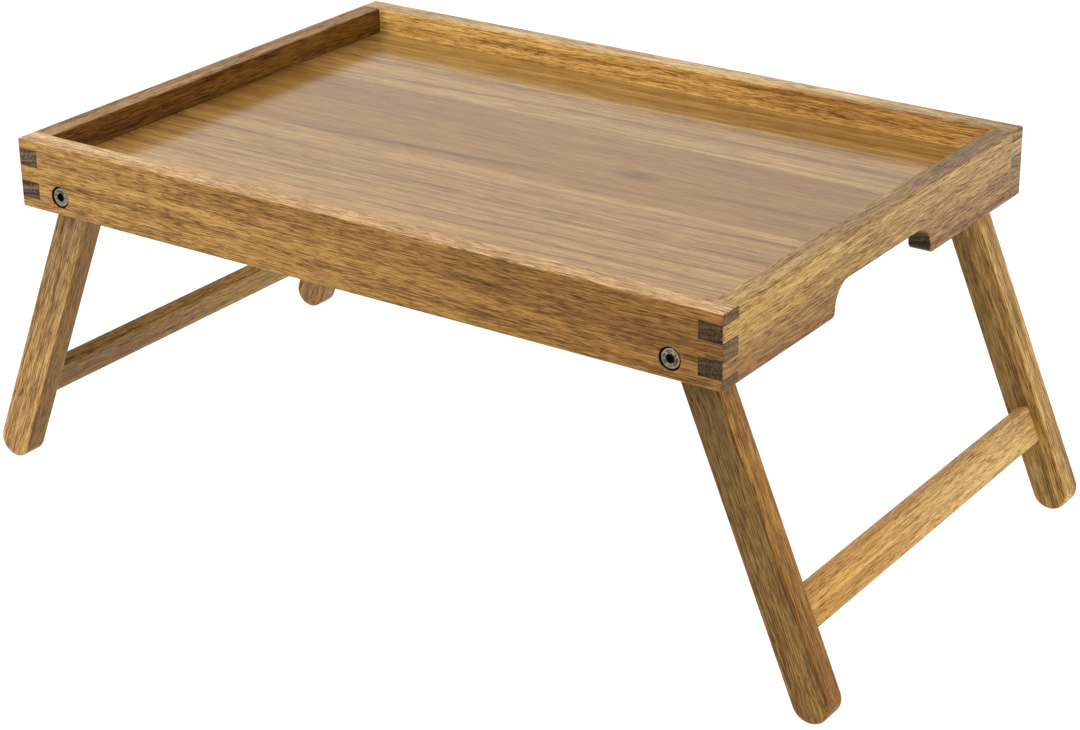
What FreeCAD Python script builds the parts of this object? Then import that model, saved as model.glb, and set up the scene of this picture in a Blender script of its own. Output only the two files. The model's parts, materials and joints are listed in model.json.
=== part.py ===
import FreeCAD, Part
import math
import os
import re
import Sketcher

# Folding tray table. X runs along the tray, Y from front to back, Z up, in millimetres.
# The origin is on the floor, under the middle of the tray. The legs are modelled open.

document = FreeCAD.newDocument("folding_tray_table")
sheet = document.addObject("Spreadsheet::Sheet", "Sizes")

# Driving dimensions. Each one can be changed by itself.
driving_sizes = [
    # tray frame
    ("tray_length", 500.0),
    ("tray_depth", 350.0),
    ("rail_height", 44.0),
    ("rail_thick", 15.0),
    ("edge_round", 1.4),
    # box joints: the long rails own the bottom, middle and top fingers
    ("bottom_finger", 7.0),
    ("top_finger", 6.4),
    # floor boards in a groove round the inside of the rails
    ("floor_thick", 3.5),
    ("groove_depth", 5.0),
    ("groove_play", 0.1),
    ("floor_end_play", 0.5),
    ("first_seam", 66.0),
    ("second_board", 93.0),
    ("third_board", 84.5),
    # handle cut-outs in the bottom edge of the short rails
    ("handle_width", 112.0),
    ("handle_height", 18.7),
    ("handle_inner_round", 14.0),
    ("handle_lip_round", 4.0),
    # legs
    ("leg_width", 23.0),
    ("leg_thick", 17.0),
    ("leg_round", 2.2),
    ("pivot_inset", 17.2),
    ("fold_lift", 0.2),
    ("fold_play", 0.3),
    ("stop_play", 0.3),
    ("foot_play", 0.6),
    # stretchers
    ("stretcher_width", 24.0),
    ("stretcher_thick", 9.5),
    ("stretcher_round", 2.5),
    ("stretcher_drop", 160.0),
    # dowels that join stretchers to legs
    ("dowel_size", 5.0),
    ("dowel_spacing", 12.0),
    ("dowel_in_leg", 11.0),
    ("dowel_in_stretcher", 13.0),
    ("dowel_chamfer", 0.6),
    ("glue_gap", 0.05),
    ("glue_pocket", 1.0),
    # pivot hardware
    ("bolt_size", 6.0),
    ("bolt_head", 12.0),
    ("bolt_head_height", 3.5),
    ("bolt_head_round", 0.8),
    ("bolt_recess", 0.6),
    ("bolt_hole_play", 0.2),
    ("bolt_end_gap", 1.5),
    ("counterbore_size", 13.8),
    ("socket_size", 4.5),
    ("socket_depth", 2.2),
    ("sleeve_size", 8.0),
    ("sleeve_play", 0.08),
    ("thread_gap", 0.03),
    ("nut_flange", 13.0),
    ("nut_flange_thick", 2.5),
    ("nut_socket_depth", 1.5),
    ("washer_size", 14.0),
    ("washer_thick", 0.8),
    ("washer_play", 0.15),
]

# Derived sizes, worked out by the sheet from the driving ones.
derived_sizes = [
    ("half_length", "tray_length / 2"),
    ("half_depth", "tray_depth / 2"),
    ("inner_half_length", "half_length - rail_thick"),
    ("inner_half_depth", "half_depth - rail_thick"),
    # three inner fingers share what the bottom and top fingers leave
    ("finger_pitch", "(rail_height - bottom_finger - top_finger) / 3"),
    # a folded leg lies between the rails' lower edges and the underside of the floor
    ("pivot_height", "fold_lift + leg_width / 2"),
    ("groove_bottom", "pivot_height + leg_width / 2 + fold_play"),
    ("groove_height", "floor_thick + groove_play"),
    ("panel_half_length", "inner_half_length + groove_depth - floor_end_play"),
    ("panel_half_depth", "inner_half_depth + groove_depth - floor_end_play"),
    ("pivot_offset", "inner_half_length - pivot_inset"),
    # the leg's outer face rests against the rounded lower inner edge of the short rail
    ("stop_across", "pivot_inset + edge_round"),
    ("stop_down", "pivot_height - edge_round"),
    ("stop_reach", "sqrt(stop_across ^ 2 + stop_down ^ 2)"),
    ("stop_clearance", "leg_width / 2 + edge_round + stop_play"),
    ("splay", "atan2(stop_across; stop_down) - asin(stop_clearance / stop_reach)"),
    # folded flat, the feet of the two frames all but meet under the middle of the tray
    ("leg_reach", "pivot_offset - foot_play"),
    ("foot_centre", "leg_reach - leg_width / 2"),
    ("pivot_level", "foot_centre * cos(splay) + leg_width / 2"),
    ("rail_bottom", "pivot_level - pivot_height"),
    # distances inward from the outer face of a long rail
    ("leg_start", "rail_thick + washer_thick + washer_play"),
    ("leg_end", "leg_start + leg_thick"),
    ("inner_washer_start", "leg_end + washer_play"),
    ("flange_start", "inner_washer_start + washer_thick"),
    ("flange_end", "flange_start + nut_flange_thick"),
    ("sleeve_start", "rail_thick + washer_thick"),
    ("bolt_end", "flange_start - bolt_end_gap"),
    ("counterbore_depth", "bolt_recess + bolt_head_height"),
    ("stretcher_half_length", "half_depth - leg_end"),
    ("bolt_hole", "bolt_size + bolt_hole_play"),
    ("leg_bore", "sleeve_size + 2 * sleeve_play"),
    ("dowel_hole", "dowel_size + 2 * glue_gap"),
    ("nut_bore", "bolt_size + 2 * thread_gap"),
    ("washer_bore", "sleeve_size + 2 * washer_play"),
]

row = 1
for alias, value in driving_sizes:
    sheet.set(f"A{row}", alias)
    sheet.set(f"B{row}", str(value))
    sheet.setAlias(f"B{row}", alias)
    row += 1
document.recompute()
for alias, formula in derived_sizes:
    sheet.set(f"A{row}", alias)
    sheet.set(f"B{row}", f"={formula}")
    sheet.setAlias(f"B{row}", alias)
    document.recompute()
    row += 1


def on_sheet(formula):
    # a formula in the sheet's aliases, written for use outside the sheet
    return re.sub(r"[a-z]\w*_\w+|splay", r"Sizes.\g<0>", formula)


def worked_out(formula):
    # the formula's value now, as a plain number
    result = sheet.evalExpression(on_sheet(formula))
    return float(getattr(result, "Value", result))


def bind(thing, path, formula):
    thing.setExpression(path, on_sheet(formula))


def new_sketch(body, name, plane_role, offset="0"):
    # a sketch on one of the body's own origin planes, moved along the plane's normal
    sketch = body.newObject("Sketcher::SketchObject", name)
    plane = [feature for feature in body.Origin.OriginFeatures if feature.Role == plane_role][0]
    sketch.AttachmentSupport = (plane, [""])
    sketch.MapMode = "FlatFace"
    bind(sketch, "AttachmentOffset.Base.z", offset)
    return sketch


def add_size(sketch, kind, places, formula):
    # a dimension of the sketch, bound to a formula
    index = sketch.addConstraint(Sketcher.Constraint(kind, *places, worked_out(formula)))
    sketch.setExpression(f"Constraints[{index}]", on_sheet(formula))


def pin_point(sketch, line, end, across, up):
    # holds one end of a line or arc at a place measured from the sketch's origin
    for kind, formula in (("DistanceX", across), ("DistanceY", up)):
        if formula is None:
            continue
        if worked_out(formula) == 0.0:
            rule = "Vertical" if kind == "DistanceX" else "Horizontal"
            sketch.addConstraint(Sketcher.Constraint(rule, -1, 1, line, end))
        else:
            add_size(sketch, kind, (-1, 1, line, end), formula)


def add_polygon(sketch, corners):
    # a closed outline of straight lines through corners given as pairs of formulas
    places = [FreeCAD.Vector(worked_out(across), worked_out(up), 0) for across, up in corners]
    count = len(corners)
    first = sketch.GeometryCount
    for index in range(count):
        sketch.addGeometry(Part.LineSegment(places[index], places[(index + 1) % count]), False)
    for index in range(count):
        after = first + (index + 1) % count
        sketch.addConstraint(Sketcher.Constraint("Coincident", first + index, 2, after, 1))
        pin_point(sketch, first + index, 1, *corners[index])


def add_rectangle(sketch, left, right, bottom, top):
    add_polygon(sketch, [(left, bottom), (right, bottom), (right, top), (left, top)])


def add_circle(sketch, across, up, diameter):
    centre = FreeCAD.Vector(worked_out(across), worked_out(up), 0)
    circle = Part.Circle(centre, FreeCAD.Vector(0, 0, 1), worked_out(diameter) / 2)
    index = sketch.addGeometry(circle, False)
    pin_point(sketch, index, 3, across, up)
    add_size(sketch, "Diameter", (index,), diameter)


def new_body(name):
    body = document.addObject("PartDesign::Body", name)
    body.Label = name
    return body


def pad(body, sketch, length):
    # material to both sides of the sketch's plane
    feature = body.newObject("PartDesign::Pad", f"{sketch.Name}_pad")
    feature.Profile = sketch
    feature.SideType = "Symmetric"
    bind(feature, "Length", length)
    sketch.Visibility = False


def pocket(body, sketch, length=None):
    # a cut to both sides of the sketch's plane, through everything if no length is given
    feature = body.newObject("PartDesign::Pocket", f"{sketch.Name}_cut")
    feature.Profile = sketch
    feature.SideType = "Symmetric"
    if length is None:
        feature.Type = "ThroughAll"
    else:
        bind(feature, "Length", length)
    sketch.Visibility = False


def ease_edges(body, name, kind, size, wanted):
    # a Fillet or Chamfer on the edges of the body so far for which wanted(edge) is true
    document.recompute()
    base = body.Tip
    numbers = [f"Edge{i + 1}" for i, edge in enumerate(base.Shape.Edges) if wanted(edge)]
    feature = body.newObject(f"PartDesign::{kind}", name)
    feature.Base = (base, numbers)
    bind(feature, "Radius" if kind == "Fillet" else "Size", size)


def place(thing, across, along, up, axis=None, angle="0"):
    # puts a sub-part in the tray table's own frame
    if axis is not None:
        thing.Placement = FreeCAD.Placement(FreeCAD.Vector(), FreeCAD.Rotation(axis, 10))
        bind(thing, "Placement.Rotation.Angle", angle)
    bind(thing, "Placement.Base.x", across)
    bind(thing, "Placement.Base.y", along)
    bind(thing, "Placement.Base.z", up)


def group(name, members):
    compound = document.addObject("Part::Compound", name)
    compound.Label = name
    compound.Links = members
    return compound


Y_AXIS = FreeCAD.Vector(0, 1, 0)
Z_AXIS = FreeCAD.Vector(0, 0, 1)
# how near two places are to count as the same one when edges are picked, in millimetres
SAME_PLACE = 0.01
sub_parts = []

# ---- the glued frame's outer form: rounded edges and handle cut-outs, shared by the four rails


def add_handle_outline(sketch):
    # flat top, concave corners, then convex lips that run into the rail's bottom edge
    half = "handle_width / 2"
    lip = "handle_lip_round"
    corner = "handle_inner_round"
    top = "handle_height"
    corners = []
    for sign in ("-", ""):
        corners.append([
            (f"{sign}({half} + {lip})", "0"),
            (f"{sign}({half})", lip),
            (f"{sign}({half})", f"{top} - {corner}"),
            (f"{sign}({half} - {corner})", top),
            (f"{sign}({half} + {lip})", lip),
            (f"{sign}({half} - {corner})", f"{top} - {corner}"),
        ])

    def vector(pair):
        return FreeCAD.Vector(worked_out(pair[0]), worked_out(pair[1]), 0)

    def arc(centre, radius, start, end):
        circle = Part.Circle(vector(centre), Z_AXIS, worked_out(radius))
        return sketch.addGeometry(Part.ArcOfCircle(circle, start, end), False)

    left, right = corners
    # around the outline: left lip, left side, left corner, top, right corner, right side, right lip
    left_lip = arc(left[4], lip, 1.5 * math.pi, 2 * math.pi)
    left_side = sketch.addGeometry(Part.LineSegment(vector(left[1]), vector(left[2])), False)
    left_corner = arc(left[5], corner, 0.5 * math.pi, math.pi)
    ceiling = sketch.addGeometry(Part.LineSegment(vector(left[3]), vector(right[3])), False)
    right_corner = arc(right[5], corner, 0, 0.5 * math.pi)
    right_side = sketch.addGeometry(Part.LineSegment(vector(right[2]), vector(right[1])), False)
    right_lip = arc(right[4], lip, math.pi, 1.5 * math.pi)
    mouth = sketch.addGeometry(Part.LineSegment(vector(right[0]), vector(left[0])), False)
    # each joint is the two meeting ends and where they meet
    joints = [
        (mouth, 2, left_lip, 1, left[0]),
        (left_lip, 2, left_side, 1, left[1]),
        (left_side, 2, left_corner, 2, left[2]),
        (left_corner, 1, ceiling, 1, left[3]),
        (ceiling, 2, right_corner, 2, right[3]),
        (right_corner, 1, right_side, 1, right[2]),
        (right_side, 2, right_lip, 1, right[1]),
        (right_lip, 2, mouth, 1, right[0]),
    ]
    for one, one_end, other, other_end, corner_place in joints:
        sketch.addConstraint(Sketcher.Constraint("Coincident", one, one_end, other, other_end))
        pin_point(sketch, other, other_end, *corner_place)
    for curve, radius in ((left_lip, lip), (right_lip, lip), (left_corner, corner), (right_corner, corner)):
        add_size(sketch, "Radius", (curve,), radius)


def make_frame_form():
    form = new_body("frame_form")
    ring = new_sketch(form, "form_ring", "XY_Plane", "rail_height / 2")
    add_rectangle(ring, "-half_length", "half_length", "-half_depth", "half_depth")
    add_rectangle(ring, "-inner_half_length", "inner_half_length", "-inner_half_depth", "inner_half_depth")
    pad(form, ring, "rail_height")
    handles = new_sketch(form, "form_handles", "YZ_Plane")
    add_handle_outline(handles)
    pocket(form, handles)
    inner_corner = (worked_out("inner_half_length"), worked_out("inner_half_depth"))
    cut_half_width = worked_out("handle_width / 2 + handle_lip_round")

    def is_eased(edge):
        # every edge but the four upright ones in the inner corners and the lines across the cut-outs
        middle = edge.CenterOfMass
        from_corner = math.hypot(abs(middle.x) - inner_corner[0], abs(middle.y) - inner_corner[1])
        start, end = edge.Vertexes[0].Point, edge.Vertexes[-1].Point
        across_rail = abs(start.x - end.x) > SAME_PLACE and abs(start.y - end.y) < SAME_PLACE
        inside_cut = abs(middle.y) < cut_half_width + SAME_PLACE
        return from_corner > SAME_PLACE and not (across_rail and inside_cut)

    ease_edges(form, "form_easing", "Fillet", "edge_round", is_eased)
    place(form, "0", "0", "rail_bottom")
    return form


def finger_notches(sketch, near, far, spans):
    # the notches at both ends of a rail that take the other rail's fingers
    for low, high in spans:
        add_rectangle(sketch, f"-({far})", f"-({near})", low, high)
        add_rectangle(sketch, near, far, low, high)


side_fingers = [
    ("bottom_finger", "bottom_finger + finger_pitch"),
    ("bottom_finger + 2 * finger_pitch", "bottom_finger + 3 * finger_pitch"),
]
long_fingers = [
    ("0", "bottom_finger"),
    ("bottom_finger + finger_pitch", "bottom_finger + 2 * finger_pitch"),
    ("bottom_finger + 3 * finger_pitch", "rail_height"),
]


def make_rail(name, half_length, inner_half, notches, angle, across, along, has_bolts):
    # its own frame: X along the rail from its middle, Y = 0 on the outer face and +Y inward
    blank = new_body(f"{name}_blank")
    plan = new_sketch(blank, f"{name}_plan", "XY_Plane", "rail_height / 2")
    add_rectangle(plan, f"-{half_length}", half_length, "0", "rail_thick")
    pad(blank, plan, "rail_height")
    fingers = new_sketch(blank, f"{name}_fingers", "XZ_Plane")
    finger_notches(fingers, inner_half, half_length, notches)
    pocket(blank, fingers)
    groove = new_sketch(blank, f"{name}_groove", "XY_Plane", "groove_bottom + groove_height / 2")
    groove_half = f"{inner_half} + groove_depth"
    add_rectangle(groove, f"-({groove_half})", groove_half, "rail_thick - groove_depth", "rail_thick")
    pocket(blank, groove, "groove_height")
    if has_bolts:
        holes = new_sketch(blank, f"{name}_holes", "XZ_Plane")
        counterbores = new_sketch(blank, f"{name}_counterbores", "XZ_Plane")
        for side in ("-", ""):
            add_circle(holes, f"{side}pivot_offset", "pivot_height", "bolt_hole")
            add_circle(counterbores, f"{side}pivot_offset", "pivot_height", "counterbore_size")
        pocket(blank, holes)
        pocket(blank, counterbores, "2 * counterbore_depth")
    place(blank, across, along, "rail_bottom", Z_AXIS, angle)
    rail = document.addObject("Part::Common", name)
    rail.Label = name
    rail.Base = blank
    rail.Tool = frame_form
    sub_parts.append(rail)


frame_form = make_frame_form()
make_rail("front_rail", "half_length", "inner_half_length", side_fingers, "0", "0", "-half_depth", True)
make_rail("back_rail", "half_length", "inner_half_length", side_fingers, "180", "0", "half_depth", True)
make_rail("right_rail", "half_depth", "inner_half_depth", long_fingers, "90", "half_length", "0", False)
make_rail("left_rail", "half_depth", "inner_half_depth", long_fingers, "270", "-half_length", "0", False)

# ---- the floor: boards glued edge to edge, their ends and the outer edges in the grooves

second_seam = "first_seam - second_board"
third_seam = "first_seam - second_board - third_board"
board_edges = ["panel_half_depth", "first_seam", second_seam, third_seam, "-panel_half_depth"]
for number in range(1, len(board_edges)):
    board = new_body(f"floor_board_{number}")
    outline = new_sketch(board, f"board_outline_{number}", "XY_Plane", "groove_bottom + floor_thick / 2")
    front_edge, back_edge = board_edges[number], board_edges[number - 1]
    add_rectangle(outline, "-panel_half_length", "panel_half_length", front_edge, back_edge)
    pad(board, outline, "floor_thick")
    place(board, "0", "0", "rail_bottom")
    sub_parts.append(board)

# ---- leg frames. A leg's own frame has the pivot at its origin and the leg hanging down -Z


def make_leg(name, side_across, side_along):
    leg = new_body(name)
    outline = new_sketch(leg, f"{name}_outline", "XZ_Plane")
    half = worked_out("leg_width / 2")
    foot = worked_out("foot_centre")
    top_arc = outline.addGeometry(Part.ArcOfCircle(
        Part.Circle(FreeCAD.Vector(0, 0, 0), Z_AXIS, half), 0, math.pi), False)
    foot_arc = outline.addGeometry(Part.ArcOfCircle(
        Part.Circle(FreeCAD.Vector(0, -foot, 0), Z_AXIS, half), math.pi, 2 * math.pi), False)
    left = outline.addGeometry(Part.LineSegment(
        FreeCAD.Vector(-half, 0, 0), FreeCAD.Vector(-half, -foot, 0)), False)
    right = outline.addGeometry(Part.LineSegment(
        FreeCAD.Vector(half, -foot, 0), FreeCAD.Vector(half, 0, 0)), False)
    for one, one_end, other, other_end in (
            (top_arc, 2, left, 1), (left, 2, foot_arc, 1), (foot_arc, 2, right, 1), (right, 2, top_arc, 1)):
        outline.addConstraint(Sketcher.Constraint("Coincident", one, one_end, other, other_end))
    pin_point(outline, top_arc, 3, "0", "0")
    pin_point(outline, foot_arc, 3, "0", "-foot_centre")
    for line, end, across, up in (
            (left, 1, "-leg_width / 2", "0"), (left, 2, "-leg_width / 2", "-foot_centre"),
            (right, 1, None, "-foot_centre"), (right, 2, None, "0")):
        pin_point(outline, line, end, across, up)
    pad(leg, outline, "leg_thick")
    half_thick = worked_out("leg_thick / 2")

    def on_a_face(edge):
        return all(abs(abs(vertex.Point.y) - half_thick) < SAME_PLACE for vertex in edge.Vertexes)

    ease_edges(leg, f"{name}_easing", "Fillet", "leg_round", on_a_face)
    bore = new_sketch(leg, f"{name}_bore", "XZ_Plane")
    add_circle(bore, "0", "0", "leg_bore")
    pocket(leg, bore)
    # the plane's normal is -Y, so the inner face of a front leg is at a negative offset
    inner_face = "-leg_thick / 2" if side_along < 0 else "leg_thick / 2"
    dowels = new_sketch(leg, f"{name}_dowels", "XZ_Plane", inner_face)
    for sign in ("-", "+"):
        add_circle(dowels, "0", f"-stretcher_drop {sign} dowel_spacing / 2", "dowel_hole")
    pocket(leg, dowels, "2 * dowel_in_leg")
    along = "half_depth - leg_start - leg_thick / 2"
    place(leg,
          f"{'-' if side_across < 0 else ''}pivot_offset",
          f"{'-' if side_along < 0 else ''}({along})",
          "pivot_level", Y_AXIS, f"{'-' if side_across > 0 else ''}splay")
    sub_parts.append(leg)


def frame_place(thing, side_across, down, along):
    # puts a piece at a distance down a leg frame from its pivot, turned with the leg
    side = "-" if side_across < 0 else ""
    turn = "-" if side_across > 0 else ""
    place(thing, f"{side}(pivot_offset + ({down}) * sin(splay))", along,
          f"pivot_level - ({down}) * cos(splay)", Y_AXIS, f"{turn}splay")


def make_stretcher(name, side_across):
    stretcher = new_body(name)
    section = new_sketch(stretcher, f"{name}_section", "XZ_Plane")
    add_rectangle(section, "-stretcher_thick / 2", "stretcher_thick / 2",
                  "-stretcher_width / 2", "stretcher_width / 2")
    pad(stretcher, section, "2 * stretcher_half_length")

    def runs_along(edge):
        return abs(edge.Vertexes[0].Point.y - edge.Vertexes[-1].Point.y) > SAME_PLACE

    ease_edges(stretcher, f"{name}_easing", "Fillet", "stretcher_round", runs_along)
    for side in ("-", ""):
        holes = new_sketch(stretcher, f"{name}_holes_{'front' if side else 'back'}", "XZ_Plane",
                           f"{side}stretcher_half_length")
        for sign in ("-", ""):
            add_circle(holes, "0", f"{sign}dowel_spacing / 2", "dowel_hole")
        pocket(stretcher, holes, "2 * (dowel_in_stretcher + glue_pocket)")
    frame_place(stretcher, side_across, "stretcher_drop", "0")
    sub_parts.append(stretcher)


def make_dowels(name, side_across):
    members = []
    for side in ("-", ""):
        for sign in ("-", "+"):
            dowel = new_body(f"{name}_{len(members) + 1}")
            section = new_sketch(dowel, f"{dowel.Name}_section", "XZ_Plane")
            add_circle(section, "0", "0", "dowel_size")
            pad(dowel, section, "dowel_in_leg + dowel_in_stretcher")
            ease_edges(dowel, f"{dowel.Name}_ends", "Chamfer", "dowel_chamfer",
                       lambda edge: len(edge.Vertexes) == 1)
            middle = "stretcher_half_length + (dowel_in_leg - dowel_in_stretcher) / 2"
            frame_place(dowel, side_across, f"stretcher_drop {sign} dowel_spacing / 2", f"{side}({middle})")
            members.append(dowel)
    sub_parts.append(group(name, members))


for side_name, side in (("right", 1), ("left", -1)):
    make_leg(f"front_{side_name}_leg", side, -1)
    make_leg(f"back_{side_name}_leg", side, 1)
    make_stretcher(f"{side_name}_stretcher", side)
    make_dowels(f"{side_name}_stretcher_dowels", side)

# ---- pivot hardware. Its own frame: the origin on a long rail's outer face, +Y inward


def make_turned(name, outline):
    # a turned piece from its half section, given as (radius, distance inward) pairs
    body = new_body(name)
    section = new_sketch(body, f"{name}_section", "XY_Plane")
    add_polygon(section, outline)
    turned = body.newObject("PartDesign::Revolution", f"{name}_turned")
    turned.Profile = section
    turned.ReferenceAxis = (section, ["V_Axis"])
    turned.Angle = 360
    section.Visibility = False
    return body


def cut_socket(body, name, inward, depth):
    # a hexagon socket, its mouth at the given distance inward
    socket = new_sketch(body, name, "XZ_Plane", f"-({inward})")
    corner_radius = "socket_size / sqrt(3)"
    corners = []
    for turn in range(30, 390, 60):
        corners.append((f"{corner_radius} * cos({turn} deg)", f"{corner_radius} * sin({turn} deg)"))
    add_polygon(socket, corners)
    pocket(body, socket, f"2 * ({depth})")


def make_bolt(name):
    head_end = "bolt_recess + bolt_head_height"
    bolt = make_turned(name, [
        ("0", "bolt_recess"),
        ("bolt_head / 2", "bolt_recess"),
        ("bolt_head / 2", head_end),
        ("bolt_size / 2", head_end),
        ("bolt_size / 2", "bolt_end"),
        ("0", "bolt_end"),
    ])
    recess = worked_out("bolt_recess")

    def is_rim(edge):
        return len(edge.Vertexes) == 1 and abs(edge.Vertexes[0].Point.y - recess) < SAME_PLACE

    ease_edges(bolt, f"{name}_rim", "Fillet", "bolt_head_round", is_rim)
    cut_socket(bolt, f"{name}_socket", "bolt_recess", "socket_depth")
    return bolt


def make_nut(name):
    nut = make_turned(name, [
        ("nut_bore / 2", "sleeve_start"),
        ("sleeve_size / 2", "sleeve_start"),
        ("sleeve_size / 2", "flange_start"),
        ("nut_flange / 2", "flange_start"),
        ("nut_flange / 2", "flange_end"),
        ("0", "flange_end"),
        ("0", "flange_start"),
        ("nut_bore / 2", "flange_start"),
    ])
    cut_socket(nut, f"{name}_socket", "flange_end", "nut_socket_depth")
    return nut


def make_washer(name, start, bore):
    return make_turned(name, [
        (f"{bore} / 2", start),
        ("washer_size / 2", start),
        ("washer_size / 2", f"{start} + washer_thick"),
        (f"{bore} / 2", f"{start} + washer_thick"),
    ])


hardware = [
    ("pivot_bolts", make_bolt),
    ("sleeve_nuts", make_nut),
    ("outer_washers", lambda name: make_washer(name, "rail_thick", "bolt_hole")),
    ("inner_washers", lambda name: make_washer(name, "inner_washer_start", "washer_bore")),
]
for node_name, make_piece in hardware:
    members = []
    for across_sign in ("-", ""):
        for along_sign, angle in (("-", "0"), ("", "180")):
            piece = make_piece(f"{node_name}_{len(members) + 1}")
            across, along = f"{across_sign}pivot_offset", f"{along_sign}half_depth"
            place(piece, across, along, "pivot_level", Z_AXIS, angle)
            members.append(piece)
    sub_parts.append(group(node_name, members))

# ---- check and write

document.recompute()
for thing in document.Objects:
    if "Invalid" in thing.State or "Error" in thing.State:
        raise RuntimeError(f"{thing.Label} did not compute: {thing.State}")
os.makedirs("parts", exist_ok=True)
for part in sub_parts:
    if part.Shape.isNull() or not part.Shape.isValid():
        raise RuntimeError(f"{part.Label} has no valid shape")
    part.Shape.exportStep(f"parts/{part.Label}.step")
    print(f"{part.Label}: {len(part.Shape.Solids)} solids, {part.Shape.Volume / 1000:.2f} cm3")
print(f"splay {worked_out('splay'):.2f} degrees, pivot level {worked_out('pivot_level'):.2f} mm")
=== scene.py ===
import json
import math
import bpy
from mathutils import Matrix, Vector


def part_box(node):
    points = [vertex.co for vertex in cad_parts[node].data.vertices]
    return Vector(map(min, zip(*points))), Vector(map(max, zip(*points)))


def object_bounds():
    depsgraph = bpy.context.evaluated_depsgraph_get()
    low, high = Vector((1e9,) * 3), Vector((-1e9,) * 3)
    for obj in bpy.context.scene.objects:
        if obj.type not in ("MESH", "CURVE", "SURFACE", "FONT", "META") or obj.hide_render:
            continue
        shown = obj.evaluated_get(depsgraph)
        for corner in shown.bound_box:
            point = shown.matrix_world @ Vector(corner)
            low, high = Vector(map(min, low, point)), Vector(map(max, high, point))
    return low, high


# Folding tray table in lacquered acacia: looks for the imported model.
# Metres; X along the tray, Y to the back, Z up.
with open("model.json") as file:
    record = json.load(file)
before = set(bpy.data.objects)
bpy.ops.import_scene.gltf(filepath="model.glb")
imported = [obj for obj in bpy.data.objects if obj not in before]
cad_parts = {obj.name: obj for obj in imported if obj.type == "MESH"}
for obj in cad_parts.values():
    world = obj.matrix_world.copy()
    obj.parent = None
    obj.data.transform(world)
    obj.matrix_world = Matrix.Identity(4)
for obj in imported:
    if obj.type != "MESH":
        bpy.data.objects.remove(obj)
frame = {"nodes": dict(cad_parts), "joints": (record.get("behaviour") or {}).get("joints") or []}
cadLow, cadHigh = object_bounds()
nodes = frame["nodes"]
middle = (cadLow + cadHigh) / 2
print("frame loaded:", len(nodes), "pieces")

cameraSizes = {
    "azimuth": 34.66,  # degrees; 0 looks along +Y
    "elevation": 23.18,
    "roll": -0.57,
    "distance": 1.6413,  # from the middle of the table, along the line of sight
    "aside": 0.0266,
    "above": -0.0066,
    "lens": 87.73,
    "shift": (-0.0247, -0.0424),
}


def makeCamera(sizes):
    azimuth = math.radians(sizes["azimuth"])
    elevation = math.radians(sizes["elevation"])
    roll = math.radians(sizes["roll"])
    flat = math.cos(elevation)
    back = Vector((math.sin(azimuth) * flat, -math.cos(azimuth) * flat, math.sin(elevation)))
    level = Vector((math.cos(azimuth), math.sin(azimuth), 0))
    upward = back.cross(level)
    place = middle + back * sizes["distance"] + level * sizes["aside"] + upward * sizes["above"]
    right = level * math.cos(roll) + upward * math.sin(roll)
    camera = bpy.data.objects.new("camera", bpy.data.cameras.new("camera"))
    camera.data.lens = sizes["lens"]
    camera.data.shift_x, camera.data.shift_y = sizes["shift"]
    camera.data.dof.use_dof = False
    axes = Matrix((right, back.cross(right), back)).transposed().to_4x4()
    camera.matrix_world = Matrix.Translation(place) @ axes
    bpy.context.scene.collection.objects.link(camera)
    bpy.context.scene.camera = camera


class Signal:
    # a number, colour or vector on its way through one material's nodes
    def __init__(self, tree, socket=None):
        self.tree = tree
        self.socket = socket

    def node(self, kind, settings=None, sockets=None, output=0):
        # any node: its settings first, then the values or links of its sockets
        made = self.tree.nodes.new("ShaderNode" + kind)
        for name, setting in (settings or {}).items():
            if name == "stops":
                ramp = made.color_ramp
                while len(ramp.elements) < len(setting):
                    ramp.elements.new(1.0)
                for element, (place, colour) in zip(ramp.elements, setting):
                    element.position = place
                    element.color = (*colour, 1.0)
            else:
                setattr(made, name, setting)
        for name, value in (sockets or {}).items():
            if isinstance(value, Signal):
                self.tree.links.new(value.socket, made.inputs[name])
            else:
                made.inputs[name].default_value = value
        return Signal(self.tree, made.outputs[output] if made.outputs else None)

    def math(self, operation, *values):
        return self.node("Math", {"operation": operation}, dict(enumerate((self, *values))))

    def __add__(self, other):
        if self.socket.type == "VECTOR":
            return self.node("VectorMath", {"operation": "ADD"}, {0: self, 1: other})
        return self.math("ADD", other)

    __radd__ = __add__

    def __sub__(self, other):
        return self.math("SUBTRACT", other)

    def __rsub__(self, other):
        return self.node("Math", {"operation": "SUBTRACT"}, {0: other, 1: self})

    def __mul__(self, other):
        return self.math("MULTIPLY", other)

    def __truediv__(self, other):
        return self.math("DIVIDE", other)

    def __abs__(self):
        return self.math("ABSOLUTE")

    def rise(self, low, high):
        # 0 up to low, 1 from high, an S-curve between; falls where high is under low
        bounds = {"Value": self, "From Min": low, "From Max": high}
        return self.node("MapRange", {"interpolation_type": "SMOOTHSTEP"}, bounds)

    def parts(self):
        split = self.node("SeparateXYZ", sockets={0: self})
        return [Signal(self.tree, output) for output in split.socket.node.outputs]

    def scaled(self, scale, shift=(0.0, 0.0, 0.0)):
        return self.node("VectorMath", {"operation": "MULTIPLY_ADD"}, {0: self, 1: scale, 2: shift})

    def noise(self, detail=2.0, roughness=0.5, distortion=0.0):
        sockets = {"Vector": self, "Scale": 1.0, "Detail": detail, "Roughness": roughness}
        return self.node("TexNoise", sockets={**sockets, "Distortion": distortion})

    def lineNoise(self, detail=2.0, roughness=0.5):
        sockets = {"W": self, "Scale": 1.0, "Detail": detail, "Roughness": roughness}
        return self.node("TexNoise", {"noise_dimensions": "1D"}, sockets)


def blend(factor, first, second, kind="MIX"):
    # colours mixed by a factor; the factor or the first colour is a signal
    source = factor if isinstance(factor, Signal) else first
    settings = {"data_type": "RGBA", "blend_type": kind}
    return source.node("Mix", settings, {0: factor, 6: first, 7: second}, 2)


def rgba(colour):
    return (*colour, 1.0)


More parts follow.
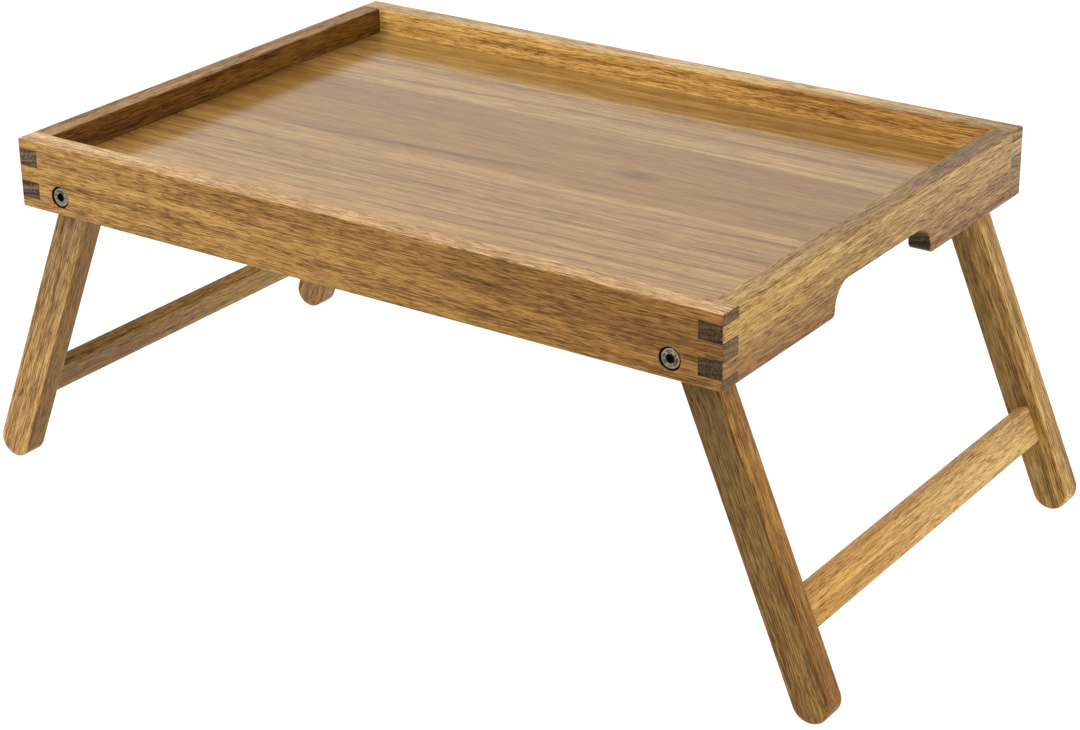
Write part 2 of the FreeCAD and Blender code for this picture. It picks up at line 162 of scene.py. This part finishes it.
def tinted(colour, tint):
    return tuple(share * part for share, part in zip(colour, tint))


def newMaterial(name):
    material = bpy.data.materials.new(name)
    material.use_nodes = True
    material.node_tree.nodes.clear()
    return material, Signal(material.node_tree)


def finishMaterial(start, sockets):
    surface = start.node("BsdfPrincipled", sockets=sockets)
    start.node("OutputMaterial", sockets={"Surface": surface})


# what all the acacia has in common; a piece's own dictionary may say otherwise
acacia = {
    "mid": (0.30, 0.16, 0.045),
    # dark to light, as a factor on the colour
    "shades": [(0.12, (0.42, 0.35, 0.28)), (0.5, (1.0, 1.0, 1.0)), (0.88, (1.50, 1.68, 1.90))],
    "farTint": (1.0, 1.0, 1.0),  # how the colour has changed at the far end
    "nearShade": (1.0, 1.0, 1.0),  # painted shade within nearReach of the near end, as along the left rail on the floor boards
    "nearReach": 0.04,
    "faceLighting": [],  # painted light and shade: faces turned a given way get their own colour, lighter or darker for how light falls on them
    "endDark": (0.012, 0.008, 0.004),
    "endColour": (0.120, 0.075, 0.038),
    "layerTilt": 80.0,  # degrees from the board's width to its thickness, across which the rings count
    "slope": 0.0,  # how the rings drift across the board along its length
    "wander": 0.005,  # metres
    "wanderScale": (2.4, 9.0, 9.0),
    "ripple": 0.0012,  # the same, finer
    "rippleScale": (16.0, 60.0, 60.0),
    "sway": 0.0025,  # of the fibres, with the ripple
    "bandSize": 0.0038,
    "zoneSize": 0.016,
    "bandStrength": 0.42,
    "zoneStrength": 0.60,
    "streakStrength": 0.60,
    "fibreStrength": 2.9,
    "mottleStrength": 0.20,
    "poreStrength": 0.85,
    "fibreScale": (60.0, 1600.0, 1600.0),
    "streakScale": (8.0, 190.0, 190.0),
    "mottleScale": (18.0, 70.0, 70.0),
    "dashScale": (125.0, 1800.0, 1800.0),
    "dashRange": (0.52, 0.64),  # of the dash noise, over which a pore opens
    "pore": (0.30, 0.22, 0.16),
    "poreRoughness": 0.25,  # added to the roughness in a pore
    "roughness": 0.40,
    "specular": 0.15,
    "coat": 0.0,
    "coatRoughness": 0.2,
    "bumpStrength": 0.35,
    "bumpDepth": 0.0003,
    "veins": [],
    "speckleScale": (500.0, 900.0, 900.0),  # of the open pores in a cut end
    "faceLightingRange": (0.60, 0.85),  # cosines over which a face's painted light and shade sets in
    "endRange": (0.55, 0.90),
}
veinWaves = 14.0  # per metre along the grain
veinFade = 0.03  # metres to each side of a vein's start or stop


def veinMask(along, across, through, vein, seed):
    # a growth line or a darker zone: its own distance to each side over which it fades
    tilt = math.radians(vein.get("tilt", 0.0))
    side = across * math.cos(tilt) + through * math.sin(tilt)
    line = vein["at"] + along * vein.get("slope", 0.0) + along * along * vein.get("bend", 0.0)
    wave = (along * veinWaves + seed).lineNoise() - 0.5
    offset = side - (line + wave * vein.get("wave", 0.003))
    spread = (offset / vein["above"]).math("MAXIMUM", offset / -vein["below"])
    mask = spread.rise(1.0, 0.0) * vein["strength"]
    if "start" in vein:
        mask = mask * along.rise(vein["start"] - veinFade, vein["start"] + veinFade)
    if "stop" in vein:
        mask = mask * along.rise(vein["stop"] + veinFade, vein["stop"] - veinFade)
    return mask


def facing(normal, way):
    # how much a surface looks the given way: the cosine of the angle between them
    return normal.node("VectorMath", {"operation": "DOT_PRODUCT"}, {0: normal, 1: way}, "Value")


def woodMaterial(name, box, turn, grain, changes, joints=False):
    wood = {**acacia, **changes}
    seed = wood["seed"]
    low, high = box
    material, start = newMaterial(name)
    place = start.node("TexCoord", output="Object")
    normal = start.node("TexCoord", output="Normal")
    placing = {"Vector": place, "Location": (low + high) / 2, "Rotation": turn}
    local = start.node("Mapping", {"vector_type": "TEXTURE"}, placing)
    along, across, through = local.parts()
    offset = (seed * 3.7, seed * 1.3, seed * 2.1)
    # rings: layers across the board that drift and wander along it, read by noise of their depth alone
    wander = local.scaled(wood["wanderScale"], offset).noise() - 0.5
    ripple = local.scaled(wood["rippleScale"], offset).noise() - 0.5
    tilt = math.radians(wood["layerTilt"])
    depth = across * math.cos(tilt) + through * math.sin(tilt) + along * wood["slope"]
    depth = depth + wander * wood["wander"] + ripple * wood["ripple"]
    knotMark = None
    if "knot" in wood:
        knot = wood["knot"]
        knotAlong, knotAcross = along - knot["along"], across - knot["across"]
        squares = knotAlong * knotAlong * knot["slender"] + knotAcross * knotAcross
        reach = squares.math("SQRT") / knot["size"]
        depth = depth - knotAcross * reach.rise(knot["pullReach"], 0.0) * knot["pull"]
        knotMark = reach.rise(1.0, 0.1)
    band = (depth / wood["bandSize"] + seed * 5.3).lineNoise(3.0, 0.6) - 0.5
    zone = (depth / wood["zoneSize"] + seed * 7.9).lineNoise(1.0) - 0.5
    # fibres, streaks and pores: noise drawn out along the grain
    sway = ripple * wood["sway"]
    swayed = local + local.node("CombineXYZ", sockets={"Y": sway, "Z": sway})
    fibre = swayed.scaled(wood["fibreScale"], offset).noise(4.0, 0.68) - 0.5
    streak = swayed.scaled(wood["streakScale"], offset).noise() - 0.5
    mottle = local.scaled(wood["mottleScale"], offset).noise(distortion=0.6) - 0.5
    dash = swayed.scaled(wood["dashScale"], offset).noise()
    tone = 0.5 + band * wood["bandStrength"] + zone * wood["zoneStrength"]
    tone = tone + streak * wood["streakStrength"]
    tone = tone + fibre * wood["fibreStrength"] + mottle * wood["mottleStrength"]
    pores = dash.rise(*wood["dashRange"]) * (0.8 - (band + mottle) * 0.5) * wood["poreStrength"]
    shade = tone.node("ValToRGB", {"stops": wood["shades"]}, {0: tone})
    length = max(high - low)
    far = (along / length + 0.5).rise(0.0, 1.0)
    colour = blend(far, rgba(wood["mid"]), rgba(tinted(wood["mid"], wood["farTint"])))
    # painted shade at the near end: the floor boards darken towards the left rail
    if wood["nearShade"] != acacia["nearShade"]:
        near = along.rise(wood["nearReach"] - length / 2, -length / 2)
        colour = blend(near, colour, rgba(wood["nearShade"]), "MULTIPLY")
    # painted light and shade: faces turned each listed way take a colour of their own
    for face in wood["faceLighting"]:
        seen = facing(normal, face["toward"]).rise(*wood["faceLightingRange"])
        faceLightingFar = tinted(face["mid"], face.get("farTint", acacia["farTint"]))
        colour = blend(seen, colour, blend(far, rgba(face["mid"]), rgba(faceLightingFar)))
    colour = blend(1.0, colour, shade, "MULTIPLY")
    for number, vein in enumerate(wood["veins"]):
        mask = veinMask(along, across, through, vein, seed + number * 9.1)
        colour = blend(mask, colour, rgba(vein.get("tint", (0.30, 0.25, 0.20))), "MULTIPLY")
    if knotMark:
        colour = blend(knotMark, colour, rgba(wood["knot"]["tint"]), "MULTIPLY")
    colour = blend(pores, colour, rgba(wood["pore"]), "MULTIPLY")
    # cut ends: darker, with open pores
    end = abs(facing(normal, grain)).rise(*wood["endRange"])
    speckle = local.scaled(wood["speckleScale"], offset).noise(3.0, 0.75) - 0.5
    endTone = (0.42 + speckle * 2.4 + band * 1.6).rise(0.0, 1.0)
    colour = blend(end, colour, blend(endTone, rgba(wood["endDark"]), rgba(wood["endColour"])))
    if joints:
        colour = blend(jointLines(place, end), colour, rgba(boxJoint["glue"]), "MULTIPLY")
        # painted shade in the bores round the bolts
        colour = blend(boreShade(place), colour, rgba(boxJoint["boreShadeTint"]), "MULTIPLY")
    height = fibre * 0.6 - pores
    relief = {"Strength": wood["bumpStrength"], "Distance": wood["bumpDepth"], "Height": height}
    bump = start.node("Bump", sockets=relief)
    finishMaterial(start, {
        "Base Color": colour,
        "Roughness": pores * wood["poreRoughness"] + wood["roughness"],
        "Specular IOR Level": wood["specular"],
        "Coat Weight": wood["coat"],
        "Coat Roughness": wood["coatRoughness"],
        "Normal": bump,
    })
    return material


def clothe(node, material):
    nodes[node].data.materials.clear()
    nodes[node].data.materials.append(material)


quarterTurn = math.pi / 2
alongTray = (1.0, 0.0, 0.0)
acrossTray = (0.0, 1.0, 0.0)
boxJoint = {
    "levels": (0.0070, 0.0172, 0.0274, 0.0376),  # between the fingers, above the rails' lower edge
    "thick": 0.015,  # of the rails
    "line": 0.00045,  # half the glue line's width
    "lineStrength": 0.9,
    "glue": (0.20, 0.15, 0.10),
    "boreSize": 0.0069,
    "boreFade": 0.0002,
    "boreDepth": 0.0006,  # below the rails' faces, where the shade is full
    "boreShadeTint": (0.22, 0.15, 0.10),
}
trayLow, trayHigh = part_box("front_rail")[0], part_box("back_rail")[1]
pivot = frame["joints"][0]["pos_m"]


def fromPivot(own):
    # distance from the nearer end's pivot axis
    across, along, up = own.parts()
    aside, above = abs(across) - abs(pivot[0]), up - pivot[2]
    return (aside * aside + above * above).math("SQRT")


def jointLines(own, end):
    # thin dark glue lines round the fingers: at their levels in the corners,
    # and where the cut ends meet the rail
    across, along, up = own.parts()
    nearEnd, nearSide = trayHigh.x - abs(across), trayHigh.y - abs(along)
    level = None
    for height in boxJoint["levels"]:
        gap = abs(up - (trayLow.z + height))
        level = gap if level is None else level.math("MINIMUM", gap)
    line, thick = boxJoint["line"], boxJoint["thick"]
    core = line * 0.4
    inward = nearEnd.math("MAXIMUM", nearSide)
    corner = inward.rise(thick + line, thick)
    shoulder = abs(inward - thick).rise(line, core) * end
    return (level.rise(line, core) * corner).math("MAXIMUM", shoulder) * boxJoint["lineStrength"]


def boreShade(own):
    # painted shade in the bolts' bores: darker inside
    along = own.parts()[1]
    inside = abs(along).rise(trayHigh.y, trayHigh.y - boxJoint["boreDepth"])
    size = boxJoint["boreSize"]
    return fromPivot(own).rise(size + boxJoint["boreFade"], size) * inside


upWay = (0.0, 0.0, 1.0)
frontWay = (0.0, -1.0, 0.0)
rightWay = (1.0, 0.0, 0.0)
# Each rail's tops have a lighter colour of their own: painted light, for the light from above.
rails = {
    "front_rail": {
        "seed": 1.0, "slope": 0.035, "mid": (0.320, 0.165, 0.040), "farTint": (0.68, 0.60, 0.50),
        "endColour": (0.27, 0.15, 0.05), "endDark": (0.07, 0.035, 0.012),
        "faceLighting": [{"toward": upWay, "mid": (0.52, 0.31, 0.130)}],
        "veins": [
            {"tilt": 90.0, "at": 0.008, "above": 0.012, "below": 0.014, "strength": 0.45, "start": 0.06,
             "tint": (0.66, 0.58, 0.50), "slope": -0.01},
            {"tilt": 90.0, "at": 0.0185, "above": 0.0030, "below": 0.010, "strength": 0.30, "start": -0.12,
             "tint": (0.66, 0.58, 0.50), "wave": 0.0},
        ],
    },
    "back_rail": {
        "seed": 2.0, "slope": -0.03, "mid": (0.63, 0.360, 0.098), "farTint": (0.86, 0.78, 0.72),
        "endColour": (0.38, 0.26, 0.12), "endDark": (0.12, 0.07, 0.03),
        "fibreStrength": 2.2, "streakStrength": 1.0,
        "faceLighting": [{"toward": upWay, "mid": (0.55, 0.355, 0.155)}],
    },
    "left_rail": {
        "seed": 3.0, "mid": (0.17, 0.065, 0.008), "endColour": (0.17, 0.105, 0.058),
        "streakStrength": 1.6, "fibreStrength": 4.2,
        "faceLighting": [{"toward": upWay, "mid": (0.275, 0.136, 0.044)}],
    },
    "right_rail": {
        "seed": 4.0, "mid": (0.49, 0.28, 0.073), "farTint": (0.93, 0.97, 1.38),
        "endColour": (0.100, 0.054, 0.016), "endDark": (0.010, 0.005, 0.002),
        "fibreStrength": 2.4,
        "faceLighting": [{"toward": upWay, "mid": (0.475, 0.285, 0.104), "farTint": (0.46, 0.44, 0.52)}],
        "veins": [
            {"tilt": 90.0, "at": -0.022, "above": 0.036, "below": 0.02, "strength": 1.0,
             "tint": (0.64, 0.52, 0.48)},
            {"tilt": 90.0, "at": 0.024, "above": 0.004, "below": 0.003, "strength": 0.7,
             "tint": (0.62, 0.56, 0.50)},
        ],
    },
}


def finishRails():
    for node, changes in rails.items():
        lengthwise = node in ("front_rail", "back_rail")
        turn = (0.0, 0.0, 0.0 if lengthwise else quarterTurn)
        grain = alongTray if lengthwise else acrossTray
        clothe(node, woodMaterial(node + "_wood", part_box(node), turn, grain, changes, joints=True))


floorFinish = {
    "roughness": 0.50, "specular": 0.0, "coat": 1.0, "coatRoughness": 0.17, "layerTilt": 8.0,
    "bandStrength": 0.45, "zoneStrength": 0.45, "streakStrength": 0.45, "fibreStrength": 1.7,
    "mottleStrength": 0.25, "poreStrength": 0.35, "wander": 0.010, "slope": -0.03,
    "fibreScale": (36.0, 1200.0, 1200.0),
    # painted shade along the left rail
    "nearShade": (0.80, 0.76, 0.76),
}
boards = {
    "floor_board_1": {
        "seed": 5.0, "mid": (0.365, 0.198, 0.050), "farTint": (0.97, 0.93, 0.93),
        "veins": [
            {"at": -0.0222, "slope": 0.0393, "bend": -0.172, "above": 0.0012, "below": 0.005,
             "strength": 0.55},
            {"at": 0.0075, "slope": 0.01, "above": 0.009, "below": 0.003, "strength": 0.5, "start": -0.08,
             "tint": (0.62, 0.45, 0.34)},
            {"at": 0.0215, "slope": 0.02, "above": 0.004, "below": 0.008, "strength": 0.4, "start": 0.0,
             "tint": (0.62, 0.45, 0.34)},
            {"at": -0.040, "above": 0.016, "below": 0.02, "strength": 0.7, "start": -0.19,
             "tint": (1.15, 1.25, 1.5)},
        ],
    },
    "floor_board_2": {
        "seed": 6.0, "mid": (0.295, 0.147, 0.029), "bandStrength": 0.25, "zoneStrength": 0.25,
        "streakStrength": 0.3, "fibreStrength": 0.9,
        "veins": [
            {"at": -0.0305, "slope": 0.092, "above": 0.0014, "below": 0.007, "strength": 0.5,
             "start": -0.19, "stop": 0.02},
            {"at": -0.0228, "slope": 0.055, "above": 0.006, "below": 0.0014, "strength": 0.5,
             "start": 0.12},
            {"at": 0.022, "slope": -0.03, "above": 0.014, "below": 0.016, "strength": 0.45,
             "stop": -0.04, "tint": (0.78, 0.76, 0.78)},
            {"at": 0.0245, "slope": 0.03, "above": 0.0014, "below": 0.005, "strength": 0.3,
             "start": 0.10},
        ],
        "knot": {
            "along": 0.0765, "across": -0.008, "size": 0.011, "slender": 0.2, "tint": (0.62, 0.56, 0.50),
            "pull": 0.7, "pullReach": 3.0,  # how far the rings bend round it, and to how many sizes out
        },
    },
    "floor_board_3": {
        "seed": 7.0, "mid": (0.360, 0.194, 0.050), "fibreStrength": 1.6,
        "veins": [
            {"at": 0.0195, "slope": 0.0345, "bend": 0.125, "above": 0.0012, "below": 0.005,
             "strength": 0.5},
            {"at": -0.030, "slope": 0.031, "bend": 0.095, "above": 0.0012, "below": 0.006,
             "strength": 0.5},
            {"at": -0.008, "slope": 0.031, "bend": 0.10, "above": 0.0012, "below": 0.004,
             "strength": 0.3},
        ],
    },
    "floor_board_4": {
        "seed": 8.0, "mid": (0.395, 0.21, 0.058), "fibreStrength": 1.6,
        "veins": [
            {"at": 0.0121, "slope": 0.0465, "above": 0.0012, "below": 0.0012, "strength": 0.7,
             "start": 0.07},
            {"at": 0.004, "slope": 0.03, "above": 0.0012, "below": 0.004, "strength": 0.3},
        ],
    },
}


def finishFloor():
    for node, changes in boards.items():
        changes = {**floorFinish, **changes}
        clothe(node, woodMaterial(node + "_wood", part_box(node), (0.0, 0.0, 0.0), alongTray, changes))


legFinish = {"endDark": (0.05, 0.026, 0.008), "endColour": (0.26, 0.155, 0.058)}
# The legs' fronts, and the front left leg's inner side, have darker colours of their own: painted shade,
# in part the wood's own darker tone.
legs = {
    "front_right_leg": {
        "seed": 11.0, "mid": (0.38, 0.18, 0.034), "farTint": (0.84, 0.77, 0.60), **legFinish,
        "faceLighting": [{"toward": frontWay, "mid": (0.109, 0.055, 0.012), "farTint": (1.62, 1.58, 1.44)}],
        "veins": [
            {"tilt": 90.0, "at": 0.006, "above": 0.002, "below": 0.006, "strength": 0.5, "stop": -0.03,
             "tint": (0.60, 0.56, 0.52)},
            # painted highlight: a thin light line along the leg's front arris
            {"at": -0.0085, "above": 0.0012, "below": 0.0012, "strength": 0.35, "wave": 0.0,
             "tint": (1.5, 1.7, 2.0)},
        ],
    },
    "back_right_leg": {
        "seed": 12.0, "mid": (0.56, 0.33, 0.100), **legFinish, "streakStrength": 1.6,
        "faceLighting": [{"toward": frontWay, "mid": (0.27, 0.150, 0.038)}],
        "veins": [
            {"tilt": 90.0, "at": -0.005, "above": 0.006, "below": 0.012, "strength": 0.85, "stop": 0.06,
             "tint": (0.62, 0.58, 0.54)},
            {"tilt": 90.0, "at": 0.007, "above": 0.006, "below": 0.005, "strength": 0.8,
             "tint": (1.45, 1.4, 1.3)},
        ],
    },
    "front_left_leg": {
        "seed": 13.0, "mid": (0.26, 0.15, 0.051), "farTint": (1.52, 1.44, 1.28), **legFinish,
        "faceLighting": [{"toward": rightWay, "mid": (0.205, 0.095, 0.014)}],
        "veins": [
            {"tilt": 90.0, "at": 0.002, "above": 0.003, "below": 0.003, "strength": 0.5, "stop": 0.0,
             "tint": (0.55, 0.50, 0.46)},
        ],
    },
    "back_left_leg": {"seed": 14.0, "mid": (0.27, 0.145, 0.045), **legFinish},
}
splay = {joint["child"]: math.radians(max(joint["range_deg"]) - 90.0) for joint in frame["joints"]}


def legTurn(side):
    # the turn about Y that lays a leg's own length along X
    angle = splay[side + "_leg_frame"]
    return quarterTurn - angle if side == "right" else quarterTurn + angle


def finishLegs():
    for node, changes in legs.items():
        turn = legTurn(node.split("_")[1])
        grain = (math.cos(turn), 0.0, -math.sin(turn))
        clothe(node, woodMaterial(node + "_wood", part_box(node), (0.0, turn, 0.0), grain, changes))


stretchers = {
    "right_stretcher": {
        "seed": 15.0, "mid": (0.580, 0.298, 0.070), "farTint": (1.14, 1.36, 2.05), **legFinish,
        "bandStrength": 0.4, "zoneStrength": 0.5, "fibreStrength": 1.4, "streakStrength": 0.6,
        "veins": [
            {"at": 0.012, "above": 0.004, "below": 0.004, "strength": 0.7, "tint": (0.55, 0.45, 0.36)},
        ],
    },
    "left_stretcher": {
        "seed": 16.0, "mid": (0.205, 0.102, 0.019), "farTint": (1.62, 1.72, 1.9), **legFinish,
        "veins": [
            {"at": 0.004, "above": 0.002, "below": 0.004, "strength": 0.5, "tint": (0.50, 0.45, 0.40)},
        ],
    },
}
beech = {
    "seed": 20.0, "mid": (0.60, 0.42, 0.24), "endColour": (0.50, 0.36, 0.20),
    "endDark": (0.25, 0.16, 0.08), "poreStrength": 0.2, "bandStrength": 0.4, "zoneStrength": 0.3,
    "fibreStrength": 0.6, "streakStrength": 0.3,
}


def finishStretchers():
    for node, changes in stretchers.items():
        # along Y, its width turned with the legs
        lean = Matrix.Rotation(legTurn(node.split("_")[0]) - quarterTurn, 3, "Y")
        turn = (lean @ Matrix.Rotation(quarterTurn, 3, "Z")).to_euler()
        clothe(node, woodMaterial(node + "_wood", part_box(node), turn, acrossTray, changes))
        dowels = node + "_dowels"
        turn = (0.0, 0.0, quarterTurn)
        clothe(dowels, woodMaterial(dowels + "_wood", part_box(dowels), turn, acrossTray, beech))


nickel = {
    "bright": (0.29, 0.27, 0.20),
    "dull": (0.045, 0.042, 0.028),
    "warm": (0.17, 0.090, 0.072),
    "rimHighlightColour": (0.28, 0.235, 0.19),
    "grimeAndShade": (0.014, 0.010, 0.007),
    "warmStrength": 0.40,
    "rimHighlightStrength": 0.8,
    "socket": 0.0026,  # reach of the dirt and painted shade from the axis
    "rim": 0.0050,  # where the head's rounded rim starts
    "edge": 0.0058,
    "socketDirtAndShade": 0.92,
    "sideShade": 0.8,
    "roughness": 0.24,
    "scuff": 0.3,
    "socketRoughness": 0.4,  # added in the drive socket
}
nylon = {"colour": (0.72, 0.70, 0.64), "dull": (0.62, 0.60, 0.54), "roughness": 0.5, "scuff": 0.2}


def evenly(scale):
    return (scale, scale, scale)


def finishHardware():
    metal, start = newMaterial("nickel_plate")
    own = start.node("TexCoord", output="Object")
    scuff = own.scaled(evenly(1400.0)).noise(3.0, 0.7)
    cloud = own.scaled(evenly(620.0), (0.3, 1.7, 0.9)).noise(2.0, 0.6, 1.0)
    flush = own.scaled(evenly(420.0), (5.1, 2.3, 7.7)).noise(1.0)
    colour = blend(cloud.rise(0.45, 0.62), rgba(nickel["dull"]), rgba(nickel["bright"]))
    colour = blend(flush.rise(0.48, 0.62) * nickel["warmStrength"], colour, rgba(nickel["warm"]))
    # the drive sockets darken with dirt and painted shade, the gap round each head's side with painted
    # shade, and a painted highlight brightens a ring on each head's rounded rim
    radius = fromPivot(own)
    mouth = radius.rise(nickel["socket"] + 0.0004, nickel["socket"] - 0.0001)
    rim = radius.rise(nickel["rim"] - 0.0004, nickel["rim"])
    rim = rim * radius.rise(nickel["edge"], nickel["edge"] - 0.0003)
    side = radius.rise(nickel["edge"] - 0.0002, nickel["edge"])
    # painted highlight: a brighter ring on each head's rounded rim
    colour = blend(rim * nickel["rimHighlightStrength"], colour, rgba(nickel["rimHighlightColour"]))
    # dirt and painted shade in the sockets, painted shade in the gap round each head
    dirtAndShade = (mouth * nickel["socketDirtAndShade"]).math("MAXIMUM", side * nickel["sideShade"])
    colour = blend(dirtAndShade, colour, rgba(nickel["grimeAndShade"]))
    roughness = scuff * nickel["scuff"] + (nickel["roughness"] - 0.1) + mouth * nickel["socketRoughness"]
    finishMaterial(start, {"Base Color": colour, "Metallic": 1.0, "Roughness": roughness})
    plastic, start = newMaterial("natural_nylon")
    own = start.node("TexCoord", output="Object")
    cloud = own.scaled(evenly(500.0)).noise()
    colour = blend(cloud, rgba(nylon["colour"]), rgba(nylon["dull"]))
    roughness = cloud * nylon["scuff"] + nylon["roughness"]
    finishMaterial(start, {"Base Color": colour, "Roughness": roughness})
    for node in ("pivot_bolts", "sleeve_nuts"):
        clothe(node, metal)
    for node in ("outer_washers", "inner_washers"):
        clothe(node, plastic)


studio = {
    "surround": 0.97,  # radiance of the white room
    "keyPower": 14.0,  # watts
    "keySize": 1.3,
    "keyPlace": (-0.50, -1.30, 1.25),
    "floorHalf": 14.0,  # metres
    "floorLevel": -0.0004,
    "floorGlow": 0.95,
    "floorColour": (0.20, 0.20, 0.20),
}


def makeStudio():
    white = (1.0, 1.0, 1.0, 1.0)
    world = bpy.data.worlds.new("white_room")
    world.use_nodes = True
    background = world.node_tree.nodes["Background"]
    background.inputs["Color"].default_value = white
    background.inputs["Strength"].default_value = studio["surround"]
    bpy.context.scene.world = world
    half, level = studio["floorHalf"], studio["floorLevel"]
    mesh = bpy.data.meshes.new("studio_floor")
    corners = [(-half, -half, level), (half, -half, level), (half, half, level), (-half, half, level)]
    mesh.from_pydata(corners, [], [(0, 1, 2, 3)])
    floor = bpy.data.objects.new("studio_floor", mesh)
    bpy.context.scene.collection.objects.link(floor)
    material, start = newMaterial("pale_floor")
    finishMaterial(start, {
        "Base Color": rgba(studio["floorColour"]),
        "Roughness": 0.9,
        "Specular IOR Level": 0.0,
        "Emission Color": white,
        "Emission Strength": studio["floorGlow"],
    })
    mesh.materials.append(material)
    key = bpy.data.objects.new("key_light", bpy.data.lights.new("key_light", "AREA"))
    key.data.shape = "DISK"
    key.data.size = studio["keySize"]
    key.data.energy = studio["keyPower"]
    key.location = studio["keyPlace"]
    key.rotation_euler = (middle - key.location).to_track_quat("-Z", "Y").to_euler()
    bpy.context.scene.collection.objects.link(key)
    bpy.context.scene.view_settings.view_transform = "Standard"


makeCamera(cameraSizes)
makeStudio()
print("camera and studio made")
finishRails()
finishFloor()
print("tray finished")
finishLegs()
finishStretchers()
finishHardware()
print("leg frames and hardware finished")
